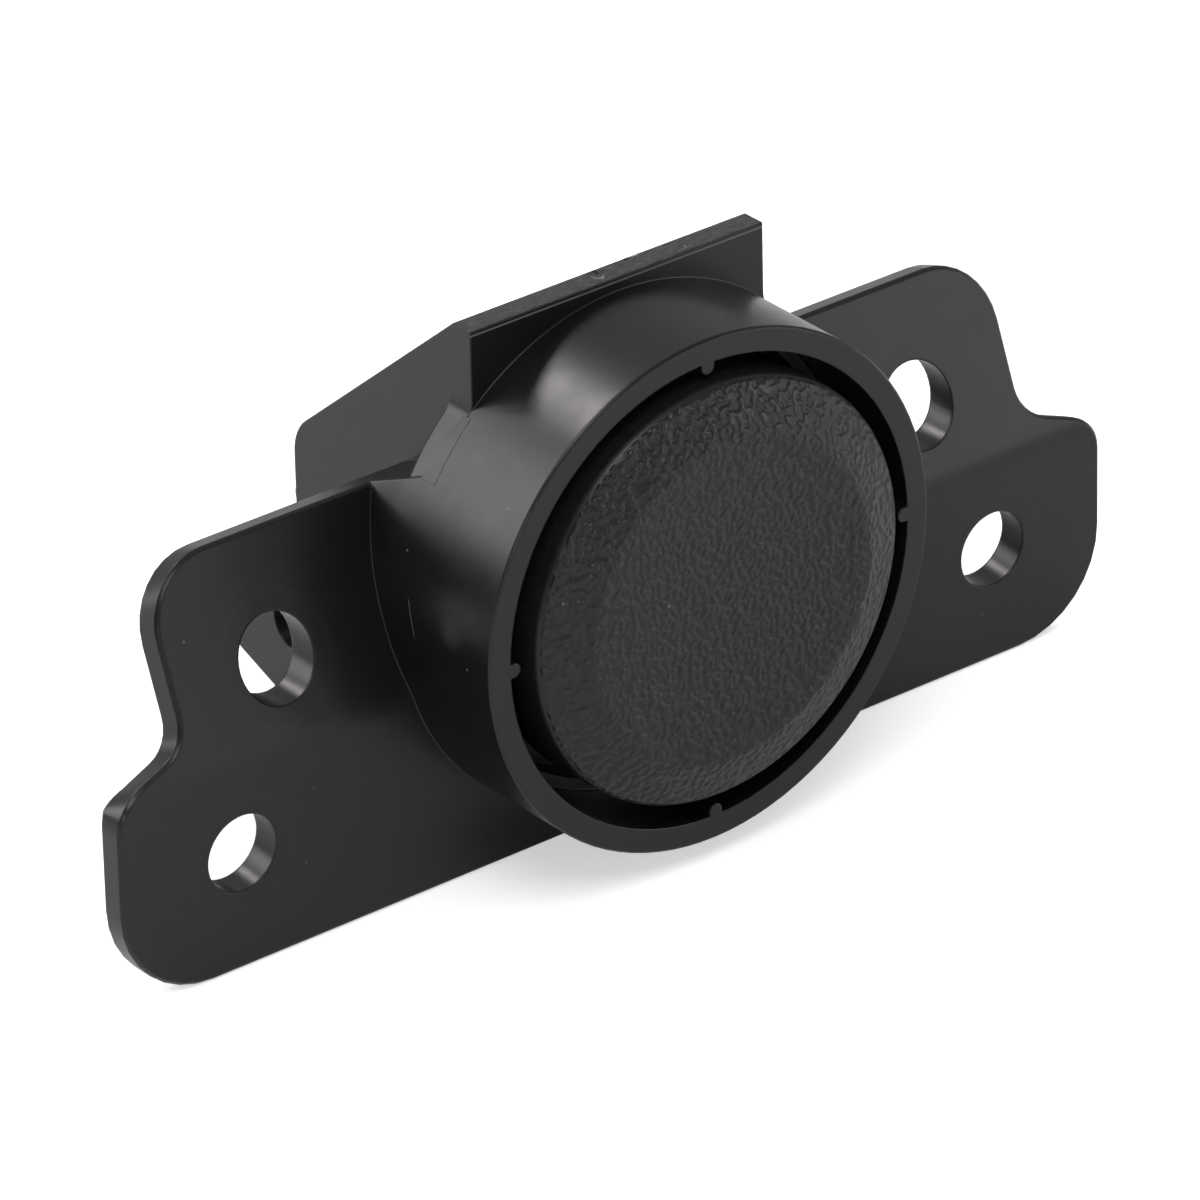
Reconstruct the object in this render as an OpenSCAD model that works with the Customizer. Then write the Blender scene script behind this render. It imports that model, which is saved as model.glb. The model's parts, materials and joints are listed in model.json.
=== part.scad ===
// Push-button glove box latch.
// Frame: origin on the drum axis at the front face of the lower flange,
// +X to the right seen from the front, +Y to the back, +Z up. Millimetres.

/* [Flange] */
// Width of the flange across its lower tabs
flange_w = 90.2; // [84:0.1:100]
// Width of the flange across its upper tabs
upper_w = 76.8; // [74:0.1:80]
// Thickness of the flange plate
plate_t = 2.4; // [2:0.1:3]
// Depth of the bottom edge below the drum axis
bottom_drop = 21.9; // [20.6:0.1:26]
// Depth of the bend line below the drum axis
bend_drop = 5.6; // [5:0.1:6.5]
// Angle by which the upper half leans back
bend_angle = 21; // [10:1:26]
// Inside radius of the bend
bend_r = 3; // [1:0.5:5]
// Length of the bent half, from the bend line to its top face
bent_len = 15.5; // [14:0.1:17]
// Radius of the upper corners
upper_corner_r = 5.5; // [3:0.1:6]
// Radius of the hollow arc between upper and lower tab
waist_r = 3; // [2:0.1:3.2]
// Depth of the hollow arc's centre below the drum axis, on the unrolled plate
waist_drop = 0.9; // [0.5:0.05:1.2]
// Radius of the lower tab's shoulder
shoulder_r = 3.6; // [3:0.1:3.8]
// Depth of the shoulder arc's centre below the drum axis, on the unrolled plate
shoulder_drop = 7.95; // [7.7:0.05:8.4]
// Radius of the lower corners
lower_corner_r = 7.7; // [3:0.1:9]
// Width of the bevel on the front edge
front_bevel = 0.25; // [0.1:0.05:0.4]
// Width of the bevel on the rear edge of the lower tabs
rear_bevel = 0.4; // [0.1:0.05:0.5]
// How far the edge of the upper tabs widens towards the rear
upper_flare = 0.1; // [0:0.05:0.2]

/* [Screw holes] */
// Diameter of the upper screw holes
upper_hole_d = 6.3; // [5:0.1:7]
// Distance between the upper screw holes
upper_pitch = 58.8; // [56:0.1:62]
// Height of the upper screw holes above the drum axis
upper_hole_z = 0.1; // [-1:0.1:1.5]
// Diameter of the lower screw holes
lower_hole_d = 6; // [4:0.1:7]
// Distance between the lower screw holes
lower_pitch = 69.2; // [64:0.1:72]
// Depth of the lower screw holes below the drum axis
lower_hole_drop = 12.7; // [12:0.1:14]

/* [Drum] */
// Outer diameter of the drum
drum_d = 40; // [38:0.1:42]
// Length of the drum in front of the flange
drum_len = 10; // [9.5:0.1:12]
// Thickness of the drum's wall at its rim
rim_w = 1.9; // [1.4:0.1:2.2]
// Length of the rim's rounded outer edge
rim_round = 0.15; // [0.1:0.05:0.5]
// Thickness of the drum's floor
floor_t = 2.4; // [1.6:0.1:3]
// Width of the inner ledge round the floor
ledge_w = 0.9; // [0.4:0.1:1]
// Height of the inner ledge above the floor
ledge_h = 2.5; // [1:0.1:3.5]
// Number of centring ribs in the drum
rib_count = 4; // [2:1:8]
// Width of a centring rib
rib_w = 1.1; // [0.8:0.1:1.6]
// Height of a centring rib from the drum's inner wall
rib_h = 0.9; // [0.6:0.1:1.1]
// Length of a centring rib from the rim
rib_len = 1.6; // [1:0.1:4]

/* [Back wall] */
// Width of the wall and of the box behind it
box_w = 26.4; // [26:0.1:28]
// Height of the wall's top above the drum axis
wall_top = 21.1; // [20.6:0.1:24]
// Thickness of the wall
wall_t = 2.5; // [2:0.1:3]
// Depth of the flat strip on top of the wall
strip_w = 1.95; // [1.6:0.05:2]
// How far the wall's round edge lies inside the drum's surface
wall_step = 0.25; // [0.1:0.05:0.4]
// Radius of the hollow between the wall's side and its round edge
wall_fillet_r = 2; // [1:0.1:3]

/* [Side cheeks] */
// Thickness of a side cheek
cheek_t = 2.2; // [1.6:0.1:2.6]
// Slope of the cheeks' top edge
cheek_slope = 39.4; // [34:0.1:42]
// Distance from the flange's front face to the cheeks' upright rear edge
cheek_back = 21.25; // [20.5:0.05:22]
// Radius of the upper rear corner of a cheek
cheek_corner_r = 4; // [1:0.1:5]
// Depth below the drum axis where the cheek flares out to its lug
flare_drop = 1.6; // [1:0.1:2.4]
// Distance from the flange's front face to the rear of the lug
lug_back = 30.5; // [30:0.1:32]
// Slope of the lug's lower edge
lug_slope = 20.8; // [15:0.1:24]
// Depth of the lug's lower edge below the drum axis, at the pivot
lug_drop = 18.2; // [17.4:0.1:19]
// Radius of the lug's corners
lug_corner_r = 3; // [1:0.1:3.4]
// Depth of the cheeks' straight lower edge below the drum axis
cheek_drop = 20.5; // [19.8:0.1:21]
// Thickness of the sloping roof between the cheeks
roof_t = 2; // [1.5:0.1:2.4]
// Thickness of the web that ties the cheeks at the bottom
tie_t = 1.8; // [1.4:0.1:2.2]
// Distance from the flange's front face to the rear of that web
tie_back = 15; // [12:0.5:16]
// Thickness of the lid over the pocket beside each cheek
lid_t = 1.8; // [1.2:0.1:2.4]

/* [Pivot] */
// Distance from the flange's front face to the pivot axis
pivot_y = 22.3; // [22:0.1:22.6]
// Depth of the pivot axis below the drum axis
pivot_drop = 11.1; // [10.8:0.1:11.4]
// Diameter of the pivot pin
pin_d = 4.4; // [3.6:0.1:4.8]
// Radial clearance of the pin in the cheeks
pin_seat_gap = 0.03; // [0.01:0.01:0.06]
// Radial clearance of the lever on the pin
pin_run_gap = 0.06; // [0.02:0.01:0.1]
// Depth to which the pin's plain end is sunk into its hole
pin_recess = 1.2; // [0.4:0.1:1.4]
// Diameter of the pin's head
pin_head_d = 7; // [6:0.1:9]
// Thickness of the pin's head
pin_head_t = 1.2; // [0.8:0.1:2]

/* [Button] */
// Diameter of the button cap
cap_d = 32.8; // [31:0.1:33]
// How far the cap's flat centre stands in front of the rim
cap_proud = 2.4; // [1.5:0.1:3.5]
// Diameter of the cap's flat centre
cap_flat_d = 25.2; // [20:0.1:28]
// Depth of the bevel round the flat centre
cap_bevel = 1.5; // [0.8:0.1:2]
// Depth of the dish in the flat centre
cap_dish = 0.4; // [0.1:0.05:0.6]
// Radius of the cap's outer edge
cap_edge_r = 0.8; // [0.3:0.1:1.2]
// Thickness of the cap's face
cap_face_t = 2.2; // [1.8:0.1:2.6]
// Thickness of the cap's skirt
cap_skirt_t = 1.5; // [1:0.1:1.6]
// Gap left between the skirt and the floor when the button is pressed
skirt_gap = 0.7; // [0.5:0.1:1.2]
// Height of the button's axis above the drum's
button_rise = 0.35; // [0:0.05:0.4]
// Travel of the button
travel = 4.5; // [3:0.1:4.5]

/* [Plunger] */
// Thickness of the plunger's disc
disc_t = 1.6; // [1.2:0.1:2]
// Clearance between the disc and the cap
disc_gap = 0.05; // [0.02:0.01:0.1]
// Height of the seat ring inside the cap
seat_h = 0.8; // [0.4:0.1:1.2]
// Diameter of the plunger's stem
stem_d = 9; // [8:0.1:9.4]
// Radial clearance of the stem in its guide
stem_gap = 0.05; // [0.02:0.01:0.1]
// Wall of the guide sleeve
guide_wall = 1.8; // [1.4:0.1:2]
// Length of the guide sleeve in front of the floor
guide_front = 2.8; // [1.5:0.1:2.9]
// Length of the guide sleeve behind the floor's front face
guide_back = 6.5; // [4:0.1:6.6]
// Distance from the stem's axis to the middle of a guide leg
leg_x = 9.3; // [9.2:0.1:9.4]
// Thickness of a guide leg
leg_t = 2.2; // [1.6:0.1:2.2]
// Width of a guide leg
leg_w = 5; // [4:0.1:6]
// Distance that a guide leg reaches past the floor's front face
leg_reach = 3.5; // [3:0.1:4.2]
// Clearance of a guide leg in its slot
leg_gap = 0.15; // [0.1:0.05:0.2]
// Thickness of the retaining clip
clip_t = 0.8; // [0.6:0.1:1]
// Diameter of the retaining clip
clip_d = 14; // [13:0.1:15]
// Depth of the stem's groove for the clip
groove_depth = 1.1; // [0.8:0.1:1.4]
// Clearance of the clip in its groove
clip_gap = 0.08; // [0.04:0.01:0.12]
// Thickness of the buffer ring in front of the clip
buffer_t = 2; // [1.5:0.1:2.1]
// Gap between the buffer ring and the guide sleeve at rest
buffer_gap = 0.15; // [0.1:0.05:0.3]

/* [Return spring] */
// Wire diameter of the button's return spring
coil_wire = 0.7; // [0.6:0.05:0.8]
// Clearance between the return spring and the guide sleeve
coil_gap = 0.7; // [0.4:0.1:0.8]
// Number of turns of the return spring
coil_turns = 4; // [3:0.5:4]

/* [Hook lever] */
// Radius of the lever's hub
hub_r = 5; // [4.4:0.1:5.2]
// Gap between the hub's ends and the cheeks
hub_gap = 0.3; // [0.2:0.1:0.5]
// Width of the lever's arm
lever_w = 17.6; // [17:0.1:18]
// Width of the lever's hook
hook_w = 9.2; // [9:0.1:11]
// Distance of the arm's pad in front of the pivot
pad_y = 9; // [8.6:0.1:9]
// Height of the arm's pad above the pivot
pad_z = 10.9; // [10.4:0.1:11]
// Radius of the arm's pad
pad_r = 2; // [1.5:0.1:2.2]
// Gap between the stem's end and the pad at rest
push_gap = 0.3; // [0.2:0.05:0.5]
// Gap between the lever and its stops at rest
stop_gap = 0.25; // [0.2:0.05:0.4]
// Diameter of the striker bar that the hook holds
striker_d = 5; // [4:0.1:5.2]
// Distance of the striker bar behind the pivot
striker_y = 3.9; // [3.6:0.1:4]
// Height of the striker bar's middle above the pivot
striker_z = 9; // [8.8:0.1:9.4]
// Clearance round the striker bar
striker_gap = 0.4; // [0.3:0.05:0.6]
// Thickness of the hook's tooth
tooth_t = 2.6; // [2:0.1:3]
// Thickness of the rubber pad under the striker bar
saddle_t = 1.2; // [0.8:0.1:1.4]
// Width of the slot for the hook's spring
slot_w = 5.4; // [5:0.1:5.8]

/* [Hook spring] */
// Wire diameter of the hook's spring
twist_wire = 0.9; // [0.7:0.05:1]
// Clearance between the hook's spring and the pin
twist_gap = 0.75; // [0.5:0.05:0.8]
// Number of full turns of the hook's spring
twist_turns = 3; // [2:1:3]
// Width of the shelf that holds the spring's lower leg
shelf_w = 7; // [6:0.5:9]
// Thickness of that shelf
shelf_t = 2; // [1.2:0.1:2.4]
// Length of the spring's upper leg as a share of the arm's length
leg_share = 0.8; // [0.7:0.05:0.85]
// Distance that the shelf stands out behind the floor
shelf_len = 3.6; // [3:0.1:5]

/* [Hidden] */
$fn = 96;
lap = 0.5;
reach = 60;
black = [0.09, 0.088, 0.09];
grey = [0.3, 0.3, 0.31];
steel = [0.62, 0.63, 0.65];
rubber = [0.13, 0.13, 0.14];

drum_r = drum_d / 2;
bore_r = drum_r - rim_w;
root_len = 10;
root_draft = 0.1;
pivot_z = -pivot_drop;
half_box = box_w / 2;
inner_x = half_box - cheek_t;
hub_x = inner_x - hub_gap;

// Bend of the flange, in the side plane
bend_out = bend_r + plate_t;
bend_tangent = bend_out * tan(bend_angle / 2);
bend_z = -bend_drop - bend_tangent;
bent_y = bent_len * sin(bend_angle);
tab_top = -bend_drop + bent_len * cos(bend_angle);
lid_rise = bent_y * tan(bend_angle);

// Outline of the flange on the unrolled plate
corner_steps = 8;
shoulder_steps = 4;
bend_steps = 6;
bend_arc = bend_out * bend_angle * PI / 180;
bend_end = bend_z + bend_arc;
unrolled_top = bend_end + bent_len - bend_tangent;
waist_c = [upper_w / 2 + waist_r, -waist_drop];
shoulder_c = [flange_w / 2 - shoulder_r, -shoulder_drop];
swing = shoulder_c - waist_c;
swing_dir = atan2(swing[1], swing[0]) - acos((waist_r + shoulder_r) / norm(swing));

// Wall
wall_r = drum_r - wall_step;
fillet_x = half_box + wall_fillet_r;
fillet_z = sqrt(pow(wall_r + wall_fillet_r, 2) - pow(fillet_x, 2));

// Cheek outline, in the side plane
slope_m = tan(cheek_slope);
function roof_z(y) = wall_top - slope_m * (y - strip_w);
function lug_z(y) = -lug_drop + tan(lug_slope) * (y - pivot_y);
lug_start = pivot_y - (cheek_drop - lug_drop) / tan(lug_slope);
flare_y = lug_back;
flare_z = -flare_drop - (lug_back - cheek_back);

// Button
rim_y = -drum_len;
cap_r = cap_d / 2;
face_y = rim_y - cap_proud;
skirt_y = -travel - skirt_gap;
skirt_r = cap_r - cap_skirt_t;
disc_y = face_y + cap_face_t + seat_h;
disc_back = disc_y + disc_t;
disc_r = skirt_r - disc_gap;
bead_h = 0.45;
seat_inset = 3;
seat_w = 1.4;
seat_out = skirt_r - seat_inset;
seat_in = seat_out - seat_w;
dish_r = (pow(cap_flat_d / 2, 2) + pow(cap_dish, 2)) / (2 * cap_dish);

// Plunger
stem_r = stem_d / 2;
guide_r = stem_r + stem_gap + guide_wall;
pad_c = [pivot_y - pad_y, pivot_z + pad_z];
stem_end = pad_c[0] - pad_r - push_gap;
buffer_y = guide_back + buffer_gap;
clip_y = buffer_y + buffer_t;
groove_r = stem_r - groove_depth;
mouth_w = 1.5 * groove_r;
buffer_play = 0.3;

// Stops for the arm
stop_lap = 0.6;
stop_t = 1.5;
stop_h = 6;

// Springs
coil_play = 0.05;
coil_r = guide_r + coil_gap + coil_wire / 2;
twist_r = pin_d / 2 + twist_gap + twist_wire / 2;
arm_len = norm([pad_y, pad_z]);
arm_dir = [-pad_y, pad_z] / arm_len;
arm_n = [arm_dir[1], -arm_dir[0]];
arm_angle = atan2(arm_dir[1], arm_dir[0]);
twist_leg = arm_len * leg_share;
slot_len = twist_r + twist_leg - 0.5 * lap;
leg_room = 3 * twist_wire;
coil_step = twist_wire + 0.06;
leg_play = 0.1;

// Hook, in the side plane
bar_c = [pivot_y + striker_y, pivot_z + striker_z];
bar_r = striker_d / 2;
saddle_z = bar_c[1] - bar_r - striker_gap;
seat_z = saddle_z - saddle_t;
tooth_y = bar_c[0] + bar_r + striker_gap;
tooth_top = bar_c[1] + 0.4;
pad_half = (tooth_y - bar_c[0]) - 0.3;
pad_inset = 0.8;
heel_out = 0.9;
heel = [pivot_y - hub_r / 2, pivot_z + 0.6 * hub_r];
mouth_r = 0.6;
nose_r = 1;
hip_r = 1.5;
hip_out = 1.6;
hip_drop = 2;

// Children drawn in the front plane (X, Z), from y0 to y1
module along_y(y0, y1) {
    translate([0, y1, 0]) rotate([90, 0, 0]) linear_extrude(y1 - y0) children();
}

// Children drawn in the side plane (Y, Z), from x0 to x1
module along_x(x0, x1) {
    translate([x0, 0, 0]) rotate([90, 0, 90]) linear_extrude(x1 - x0) children();
}

// Round bar along Y on the drum axis
module bar_y(y0, y1, r) {
    translate([0, y0, 0]) rotate([-90, 0, 0]) cylinder(h = y1 - y0, r = r);
}

// Round bar along X through a point of the side plane
module bar_x(x0, x1, p, r) {
    translate([x0, p[0], p[1]]) rotate([0, 90, 0]) cylinder(h = x1 - x0, r = r);
}

// Both the children and their mirror image in the plane of symmetry
module both_sides() {
    children();
    mirror([1, 0, 0]) children();
}

// Points of a rounded corner at b between the lines to a and c
function corner(a, b, c, r, steps = 8) =
    let (u = (a - b) / norm(a - b), v = (c - b) / norm(c - b))
    let (half = acos(u * v) / 2, m = (u + v) / norm(u + v))
    let (centre = b + m * r / sin(half), p = b + u * r / tan(half) - centre)
    let (side = (u[0] * v[1] - u[1] * v[0]) > 0 ? -1 : 1, turn = 180 - 2 * half)
    [for (i = [0:steps]) let (g = side * turn * i / steps)
        centre + [p[0] * cos(g) - p[1] * sin(g), p[0] * sin(g) + p[1] * cos(g)]];

// Points on an arc round c from angle g0 to g1
function arc(c, r, g0, g1, steps = 8) =
    [for (i = [0:steps]) let (g = g0 + (g1 - g0) * i / steps) c + r * [cos(g), sin(g)]];

// Right half of the flange's unrolled outline, moved inwards by e, from bottom to top
function half_outline(e) =
    let (lower_c = [flange_w / 2 - lower_corner_r, lower_corner_r - bottom_drop])
    let (upper_c = [upper_w / 2 - upper_corner_r, unrolled_top - upper_corner_r])
    let (waist = arc(waist_c, waist_r + e, swing_dir, -180, 6))
    let (shoulder = arc(shoulder_c, shoulder_r - e, 0, swing_dir + 180, 24))
    let (bend_g = asin((bend_z - shoulder_c[1]) / (shoulder_r - e)))
    let (table = [for (p = concat(shoulder, waist)) [p[1], p[0]]])
    concat(
        arc(lower_c, lower_corner_r - e, -90, 0, corner_steps),
        arc(shoulder_c, shoulder_r - e, 0, bend_g, shoulder_steps),
        [for (i = [1:bend_steps]) let (z = bend_z + bend_arc * i / bend_steps) [lookup(z, table), z]],
        waist,
        arc(upper_c, upper_corner_r - e, 0, 90, corner_steps));

// Point p of the unrolled outline on the bent plate, at depth d behind its front face
function on_plate(p, d) =
    let (turn = min(max((p[1] - bend_z) * 180 / PI / bend_out, 0), bend_angle))
    let (rest = p[1] - bend_z - turn * PI / 180 * bend_out)
    [p[0], bend_out - (bend_out - d) * cos(turn) + rest * sin(turn),
        bend_z + (bend_out - d) * sin(turn) + rest * cos(turn)];

// Closed ring of points round the plate, right half upwards and left half downwards,
// moved inwards by e0 on the lower tabs and by e1 on the upper ones
function plate_ring(e0, e1, d) =
    let (low = half_outline(e0), high = half_outline(e1), n = len(low))
    let (half = [for (i = [0:n - 1])
        let (m = min(max((i - corner_steps - 1) / shoulder_steps, 0), 1)) (1 - m) * low[i] + m * high[i]])
    concat([for (p = half) on_plate(p, d)],
        [for (i = [1:n]) on_plate([-half[n - i][0], half[n - i][1]], d)]);

// Bent plate with bevelled edges
module plate() {
    front = plate_ring(front_bevel, front_bevel, 0);
    rings = concat(front, plate_ring(0, 0, front_bevel),
        plate_ring(0, -upper_flare, plate_t - rear_bevel),
        plate_ring(rear_bevel, front_bevel - upper_flare, plate_t));
    n = len(front);
    strips = [for (k = [0:n / 2 - 2]) [k, k + 1, n - 2 - k, n - 1 - k]];
    polyhedron(rings, concat(
        [for (f = strips) [for (i = [3:-1:0]) f[i]]],
        [for (f = strips) [for (i = f) i + 3 * n]],
        [for (r = [0:2], i = [0:n - 1], h = [0, 1])
            let (a = r * n, b = a + n, j = (i + 1) % n)
            h == 0 ? [a + i, a + j, b + j] : [a + i, b + j, b + i]]), convexity = 6);
}

// The two pairs of screw holes, drawn from the front
module screw_holes() {
    both_sides() {
        translate([upper_pitch / 2, -reach / 2, upper_hole_z])
            rotate([-90, 0, 0]) cylinder(h = reach, d = upper_hole_d);
        translate([lower_pitch / 2, -reach / 2, -lower_hole_drop])
            rotate([-90, 0, 0]) cylinder(h = reach, d = lower_hole_d);
    }
}

// Bent plate without what lies inside the drum
module flange() {
    difference() {
        plate();
        bar_y(floor_t, reach, bore_r);
        screw_holes();
    }
}

// Region under the plane of the bent half's top face
module under_lid(depth) {
    top = tab_top + lid_rise;
    back = bent_y + plate_t * cos(bend_angle);
    polygon([[0, top - depth], [0, top], [back, top - back * tan(bend_angle)],
        [back, top - back * tan(bend_angle) - depth]]);
}

// Drum: tube, floor, inner ledge and centring ribs
module drum() {
    difference() {
        union() {
            bar_y(rim_y + rim_round, 0, drum_r);
            translate([0, rim_y, 0]) rotate([-90, 0, 0])
                cylinder(h = rim_round, r1 = drum_r - rim_round, r2 = drum_r);
        }
        bar_y(rim_y - lap, lap, bore_r);
    }
    difference() {
        bar_y(-ledge_h, 0, bore_r + lap);
        bar_y(-ledge_h - lap, lap, bore_r - ledge_w);
    }
    for (i = [0:rib_count - 1]) rotate([0, i * 360 / rib_count, 0]) {
        translate([bore_r - rib_h + rib_w / 2, rim_y, 0]) rotate([-90, 0, 0])
            cylinder(h = rib_len, r = rib_w / 2);
        translate([bore_r - rib_h + rib_w / 2, rim_y, -rib_w / 2])
            cube([rib_h - rib_w / 2 + lap, rib_len, rib_w]);
    }
}

// Tube that carries the drum back to the leaning half of the flange
module drum_root() {
    back = plate_t * cos(bend_angle);
    intersection() {
        difference() {
            rotate([-90, 0, 0]) cylinder(h = root_len, r1 = drum_r, r2 = drum_r + root_draft);
            bar_y(-lap, reach + lap, bore_r);
        }
        along_x(-drum_r, drum_r)
            polygon([[0, bend_z - plate_t], [0, tab_top + lid_rise],
                [bent_y + back, tab_top - back * tan(bend_angle)], [plate_t, bend_z - plate_t]]);
    }
}

// Lid over the pocket between a cheek and the drum's tube
module pocket_lid() {
    intersection() {
        along_x(inner_x, drum_r) under_lid(lid_t);
        bar_y(0, reach, bore_r + lap);
    }
}

// Floor of the drum and the wall that rises above it
module wall() {
    along_y(0, floor_t) circle(bore_r + lap);
    difference() {
        along_y(0, wall_t) difference() {
            union() {
                translate([-half_box, 0]) square([box_w, wall_top]);
                intersection() {
                    circle(wall_r);
                    translate([-drum_r, 0]) square([drum_d, drum_r]);
                }
                for (side = [-1, 1])
                    polygon([[0, 0], [side * (half_box - lap), fillet_z], [side * fillet_x, fillet_z]]);
            }
            for (side = [-1, 1]) translate([side * fillet_x, fillet_z]) circle(wall_fillet_r);
        }
        along_x(-drum_r, drum_r)
            polygon([[strip_w, wall_top + lap], [strip_w, wall_top],
                [wall_t + lap, roof_z(wall_t + lap)], [wall_t + lap, wall_top + lap]]);
    }
}

// Outline of a side cheek, seen from the side
module cheek_outline() {
    top = [strip_w, wall_top];
    rear = [cheek_back, roof_z(cheek_back)];
    flare = [cheek_back, -flare_drop];
    lug_a = [flare_y, flare_z];
    lug_b = [lug_back, lug_z(lug_back)];
    toe = [lug_start, -cheek_drop];
    polygon(concat([[lap, -cheek_drop], [lap, wall_top], top],
        corner(top, rear, flare, cheek_corner_r),
        [flare],
        corner(flare, lug_a, lug_b, lug_corner_r, 6),
        corner(lug_a, lug_b, toe, lug_corner_r, 8),
        [toe]));
}

// Sloping roof between the cheeks
module roof() {
    fall = roof_t / cos(cheek_slope);
    end_y = cheek_back - cheek_corner_r + cheek_corner_r * sin(cheek_slope);
    along_x(-inner_x - lap, inner_x + lap)
        polygon([[lap, wall_top], [strip_w, wall_top], [end_y, roof_z(end_y)],
            [end_y - roof_t * sin(cheek_slope), roof_z(end_y) - roof_t * cos(cheek_slope)],
            [strip_w, wall_top - fall], [lap, wall_top - fall]]);
}

// Blocks on the cheeks that stop the lever's arm at rest
module lever_stops() {
    stop_back = pad_c[0] - pad_r - stop_gap;
    stop_in = lever_w / 2 - stop_lap;
    both_sides() translate([stop_in, stop_back - stop_t, pad_c[1] - stop_h / 2])
        cube([inner_x - stop_in + lap, stop_t, stop_h]);
}

// One moulding: flange, drum, floor, wall, box and guide sleeve
module housing() {
    color(black) difference() {
        union() {
            flange();
            drum();
            drum_root();
            wall();
            both_sides() {
                pocket_lid();
                along_x(inner_x, half_box) cheek_outline();
            }
            roof();
            along_x(-inner_x - lap, inner_x + lap) translate([lap, -cheek_drop])
                square([tie_back - lap, tie_t]);
            translate([0, 0, button_rise]) bar_y(-guide_front, guide_back, guide_r);
            along_x(-shelf_w / 2, shelf_w / 2)
                translate([lap, pivot_z - twist_r + twist_wire / 2 + leg_play])
                square([floor_t + shelf_len - lap, shelf_t]);
            lever_stops();
        }
        translate([0, 0, button_rise]) bar_y(-guide_front - lap, guide_back + lap, stem_r + stem_gap);
        bar_x(-half_box - lap, half_box + lap, [pivot_y, pivot_z], pin_d / 2 + pin_seat_gap);
        both_sides()
            translate([leg_x - leg_t / 2 - leg_gap, -lap, button_rise - leg_w / 2 - leg_gap])
            cube([leg_t + 2 * leg_gap, floor_t + 2 * lap, leg_w + 2 * leg_gap]);
    }
}

// Grained cap: dished face, bevel, skirt, seat ring and snap bead
module button_cap() {
    flat_r = cap_flat_d / 2;
    bevel_y = face_y + cap_bevel;
    edge = corner([flat_r, face_y], [cap_r, bevel_y], [cap_r, skirt_y], cap_edge_r, 6);
    dish = [for (i = [0:6]) let (g = asin(flat_r / dish_r) * i / 6)
        [dish_r * sin(g), face_y + cap_dish - dish_r * (1 - cos(g))]];
    color(black) translate([0, 0, button_rise]) rotate([-90, 0, 0]) rotate_extrude()
        polygon(concat(dish, edge,
            [[cap_r, skirt_y], [skirt_r, skirt_y],
            [skirt_r, disc_back + disc_gap + 2 * bead_h], [skirt_r - bead_h, disc_back + disc_gap + bead_h],
            [skirt_r, disc_back + disc_gap], [skirt_r, face_y + cap_face_t],
            [seat_out, face_y + cap_face_t], [seat_out, disc_y], [seat_in, disc_y],
            [seat_in, face_y + cap_face_t], [0, face_y + cap_face_t]]));
}

// Inner moulding of the button: disc, stem with groove, guide legs
module button_plunger() {
    color(black) translate([0, 0, button_rise]) {
        difference() {
            union() {
                bar_y(disc_y, disc_back, disc_r);
                bar_y(disc_y, stem_end, stem_r);
            }
            difference() {
                bar_y(clip_y - clip_gap, clip_y + clip_t + clip_gap, stem_r + lap);
                bar_y(clip_y - clip_gap - lap, clip_y + clip_t + clip_gap + lap, groove_r);
            }
        }
        both_sides() translate([leg_x - leg_t / 2, disc_back - lap, -leg_w / 2])
            cube([leg_t, leg_reach - disc_back + lap, leg_w]);
    }
}

// Tube of a wire that follows a list of points, closed at both ends
module wire(path, d, sides = 8) {
    n = len(path);
    function dir(i) = let (v = path[min(i + 1, n - 1)] - path[max(i - 1, 0)]) v / norm(v);
    function frame(i, ref) = let (t = dir(i), a = cross(t, ref), u = a / norm(a)) [u, cross(t, u)];
    rings = [for (i = [0:n - 1]) let (f = frame(i, [0.12, 0.31, 0.94]))
        for (k = [0:sides - 1])
            path[i] + d / 2 * (cos(360 * k / sides) * f[0] + sin(360 * k / sides) * f[1])];
    polyhedron(rings, concat(
        [[for (k = [0:sides - 1]) k]],
        [for (i = [0:n - 2], k = [0:sides - 1], h = [0, 1])
            let (a = i * sides, b = a + sides, m = (k + 1) % sides)
            h == 0 ? [a + k, b + k, b + m] : [a + k, b + m, a + m]],
        [[for (k = [sides - 1:-1:0]) (n - 1) * sides + k]]), convexity = 8);
}

// Compression spring between the floor and the plunger's disc
module button_spring() {
    y0 = -coil_wire / 2 - coil_play;
    y1 = disc_back + coil_wire / 2 + coil_play;
    steps = 24 * coil_turns;
    color(steel) translate([0, 0, button_rise])
        wire([for (i = [0:steps]) let (g = 360 * coil_turns * i / steps)
        [coil_r * cos(g), y0 + (y1 - y0) * i / steps, coil_r * sin(g)]], coil_wire);
}

// Open retaining ring in the stem's groove
module plunger_clip() {
    color(steel) translate([0, 0, button_rise]) difference() {
        bar_y(clip_y, clip_y + clip_t, clip_d / 2);
        bar_y(clip_y - lap, clip_y + clip_t + lap, groove_r + clip_gap);
        translate([-mouth_w / 2, clip_y - lap, 0])
            cube([mouth_w, clip_t + 2 * lap, clip_d]);
    }
}

// Rubber ring that quietens the button's return
module plunger_buffer() {
    color(rubber) translate([0, 0, button_rise]) difference() {
        bar_y(buffer_y, clip_y, guide_r);
        bar_y(buffer_y - lap, clip_y + lap, stem_r + buffer_play);
    }
}

// Outline of the lever's arm, seen from the side
module arm_outline() {
    spread = asin((hub_r - pad_r) / arm_len);
    rear = arm_angle - 90 + spread;
    front = arm_angle + 90 - spread;
    p = [pivot_y, pivot_z];
    root = hub_r - lap;
    polygon(concat([p, p + root * [cos(rear), sin(rear)]],
        arc(pad_c, pad_r, rear, front, 12),
        [p + root * [cos(front), sin(front)]]));
}

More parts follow.
